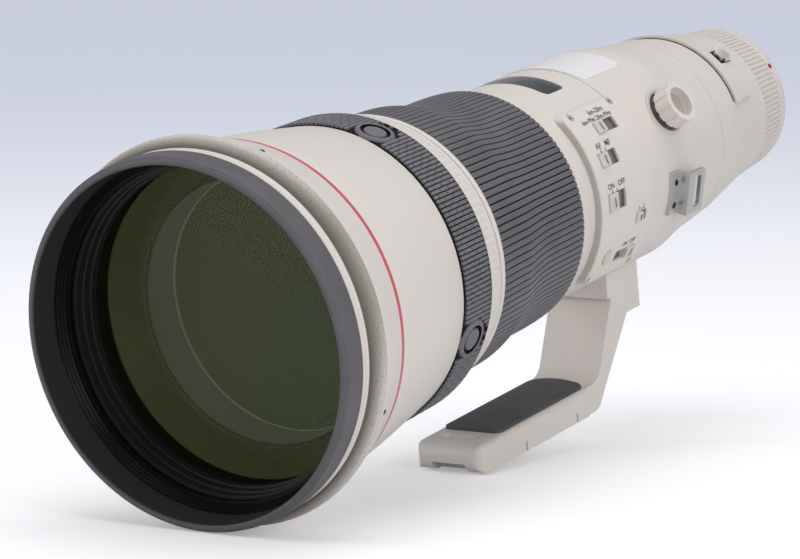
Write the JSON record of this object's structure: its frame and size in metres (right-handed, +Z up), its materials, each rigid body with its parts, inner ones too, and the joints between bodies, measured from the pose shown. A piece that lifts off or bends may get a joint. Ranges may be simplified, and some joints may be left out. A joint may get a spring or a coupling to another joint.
{
  "type": "telephoto camera lens",
  "caption": "Long telephoto camera lens with a flared front, ribbed focus ring, switch panel, turning tripod collar with foot, drop-in filter and bayonet mount.",
  "frame": {"origin": "on the optical axis in the plane of the camera mount flange", "axes": "+Y along the optical axis from the front glass towards the camera, +Z up through the distance window, +X to the switch panel side"},
  "size_m": [0.163, 0.4617, 0.1895],
  "materials": {
    "warm_white": "satin paint",
    "black_ring": "soft black",
    "black_metal": "black anodised",
    "rubber": "matte",
    "glass": "coated",
    "red": "gloss",
    "steel": "satin",
    "silver": "satin",
    "screw_black": "black",
    "switch_white": "satin",
    "black_plastic": "matte",
    "gold": "gold plated",
    "board": "solder mask",
    "label": "satin"
  },
  "bodies": {
    "barrel": {"main_tube": "black_metal", "front_bell": "warm_white", "red_line": "red", "front_ring": "black_ring", "front_cell": "black_metal", "front_retainer": "black_metal", "front_glass": "glass", "band_sleeve": "black_metal", "stop_band": "rubber", "front_trim": "warm_white", "rear_trim": "warm_white", "mid_barrel": "warm_white", "window_glass": "glass", "switch_panel": "warm_white", "panel_screws": "screw_black", "taper_barrel": "warm_white", "rear_housing": "warm_white", "ribbed_ring": "warm_white", "mount_ring": "steel", "mount_screws": "steel", "contact_block": "black_plastic", "contact_pins": "gold", "rear_cell": "black_metal", "rear_glass": "glass", "focus_motor": "black_metal", "iris_unit": "black_metal", "main_board": "board"},
    "stop_button_1_body": {"stop_button_1": "rubber"},
    "stop_button_2_body": {"stop_button_2": "rubber"},
    "stop_button_3_body": {"stop_button_3": "rubber"},
    "stop_button_4_body": {"stop_button_4": "rubber"},
    "playback": {"playback_ring": "warm_white"},
    "focus_ring": {"focus_sleeve": "black_metal", "focus_grip": "rubber"},
    "drum": {"distance_drum": "black_plastic"},
    "focus_group": {"focus_cell": "black_metal", "focus_glass": "glass"},
    "limit_knob": {"focus_limit_switch": "switch_white"},
    "mode_knob": {"focus_mode_switch": "switch_white"},
    "stabiliser_knob": {"stabiliser_switch": "switch_white"},
    "stabiliser_mode_knob": {"stabiliser_mode_switch": "switch_white"},
    "range_knob": {"focus_range_switch": "switch_white"},
    "preset": {"preset_button": "switch_white"},
    "collar": {"collar_ring": "warm_white", "label_plate": "label", "foot": "warm_white", "foot_pad": "rubber", "foot_screws": "screw_black", "strap_lugs": "silver", "lug_screws": "screw_black"},
    "knob": {"lock_knob": "warm_white"},
    "shoe": {"clamp_shoe": "black_plastic"},
    "filter": {"filter_holder": "warm_white", "filter_glass": "glass"},
    "filter_lock_right_body": {"filter_lock_right": "silver"},
    "filter_lock_left_body": {"filter_lock_left": "silver"},
    "carriage": {"stabiliser_carriage": "black_metal"},
    "shake_cell": {"stabiliser_cell": "black_metal", "stabiliser_glass": "glass"}
  },
  "joints": [
    {"name": "stop_button_1_press", "type": "slide", "parent": "barrel", "child": "stop_button_1_body", "axis": [-0.3584, 0, -0.9336], "range_m": [0, 0.0008], "stiffness_N_per_m": 1500},
    {"name": "stop_button_2_press", "type": "slide", "parent": "barrel", "child": "stop_button_2_body", "axis": [-0.9336, 0, 0.3584], "range_m": [0, 0.0008], "stiffness_N_per_m": 1500},
    {"name": "stop_button_3_press", "type": "slide", "parent": "barrel", "child": "stop_button_3_body", "axis": [0.3584, 0, 0.9336], "range_m": [0, 0.0008], "stiffness_N_per_m": 1500},
    {"name": "stop_button_4_press", "type": "slide", "parent": "barrel", "child": "stop_button_4_body", "axis": [0.9336, 0, -0.3584], "range_m": [0, 0.0008], "stiffness_N_per_m": 1500},
    {"name": "playback_turn", "type": "hinge", "parent": "barrel", "child": "playback", "pos_m": [0, -0.3203, 0], "axis": [0, 1, 0], "range_deg": [-8, 8], "stiffness_Nm_per_rad": 0.6},
    {"name": "focus_turn", "type": "hinge", "parent": "barrel", "child": "focus_ring", "pos_m": [0, -0.2693, 0], "axis": [0, 1, 0], "range_deg": [-110, 110]},
    {"name": "drum_turn", "type": "hinge", "parent": "barrel", "child": "drum", "pos_m": [0, -0.19, 0], "axis": [0, 1, 0], "range_deg": [-44, 44]},
    {"name": "focus_travel", "type": "slide", "parent": "barrel", "child": "focus_group", "axis": [0, 1, 0], "range_m": [-0.0085, 0.0085]},
    {"name": "limit_switch_slide", "type": "slide", "parent": "barrel", "child": "limit_knob", "axis": [0, 1, 0], "range_m": [0, 0.01]},
    {"name": "mode_switch_slide", "type": "slide", "parent": "barrel", "child": "mode_knob", "axis": [0, 1, 0], "range_m": [0, 0.008]},
    {"name": "stabiliser_switch_slide", "type": "slide", "parent": "barrel", "child": "stabiliser_knob", "axis": [0, 1, 0], "range_m": [0, 0.008]},
    {"name": "stabiliser_mode_slide", "type": "slide", "parent": "barrel", "child": "stabiliser_mode_knob", "axis": [0, 1, 0], "range_m": [0, 0.0046]},
    {"name": "range_switch_slide", "type": "slide", "parent": "barrel", "child": "range_knob", "axis": [0, 1, 0], "range_m": [-0.009, 0]},
    {"name": "preset_press", "type": "slide", "parent": "barrel", "child": "preset", "axis": [-0.887, 0, 0.4617], "range_m": [0, 0.0008], "stiffness_N_per_m": 1200},
    {"name": "collar_turn", "type": "hinge", "parent": "barrel", "child": "collar", "pos_m": [0, -0.145, 0], "axis": [0, 1, 0], "continuous": true},
    {"name": "lock_knob_turn", "type": "hinge", "parent": "collar", "child": "knob", "pos_m": [0.0491, -0.136, 0.02835], "axis": [0.866, 0, 0.5], "range_deg": [0, 60]},
    {"name": "clamp_shoe_press", "type": "slide", "parent": "collar", "child": "shoe", "axis": [-0.866, 0, -0.5], "range_m": [0, 0.00027]},
    {"name": "filter_lift", "type": "slide", "parent": "barrel", "child": "filter", "axis": [0, 0, 1], "range_m": [0, 0.068]},
    {"name": "filter_lock_right_press", "type": "slide", "parent": "filter", "child": "filter_lock_right_body", "axis": [-0.6428, 0, -0.766], "range_m": [0, 0.0008], "stiffness_N_per_m": 1200},
    {"name": "filter_lock_left_press", "type": "slide", "parent": "filter", "child": "filter_lock_left_body", "axis": [0.6428, 0, -0.766], "range_m": [0, 0.0008], "stiffness_N_per_m": 1200},
    {"name": "stabiliser_side_shift", "type": "slide", "parent": "barrel", "child": "carriage", "axis": [1, 0, 0], "range_m": [-0.001, 0.001], "stiffness_N_per_m": 200},
    {"name": "stabiliser_height_shift", "type": "slide", "parent": "carriage", "child": "shake_cell", "axis": [0, 0, 1], "range_m": [-0.001, 0.001], "stiffness_N_per_m": 400}
  ],
  "couplings": [
    {"joint": "drum_turn", "follows": "focus_turn", "ratio": 0.4},
    {"joint": "focus_travel", "follows": "focus_turn", "m_per_rad": 0.004167},
    {"joint": "clamp_shoe_press", "follows": "lock_knob_turn", "m_per_rad": 0.000239}
  ]
}
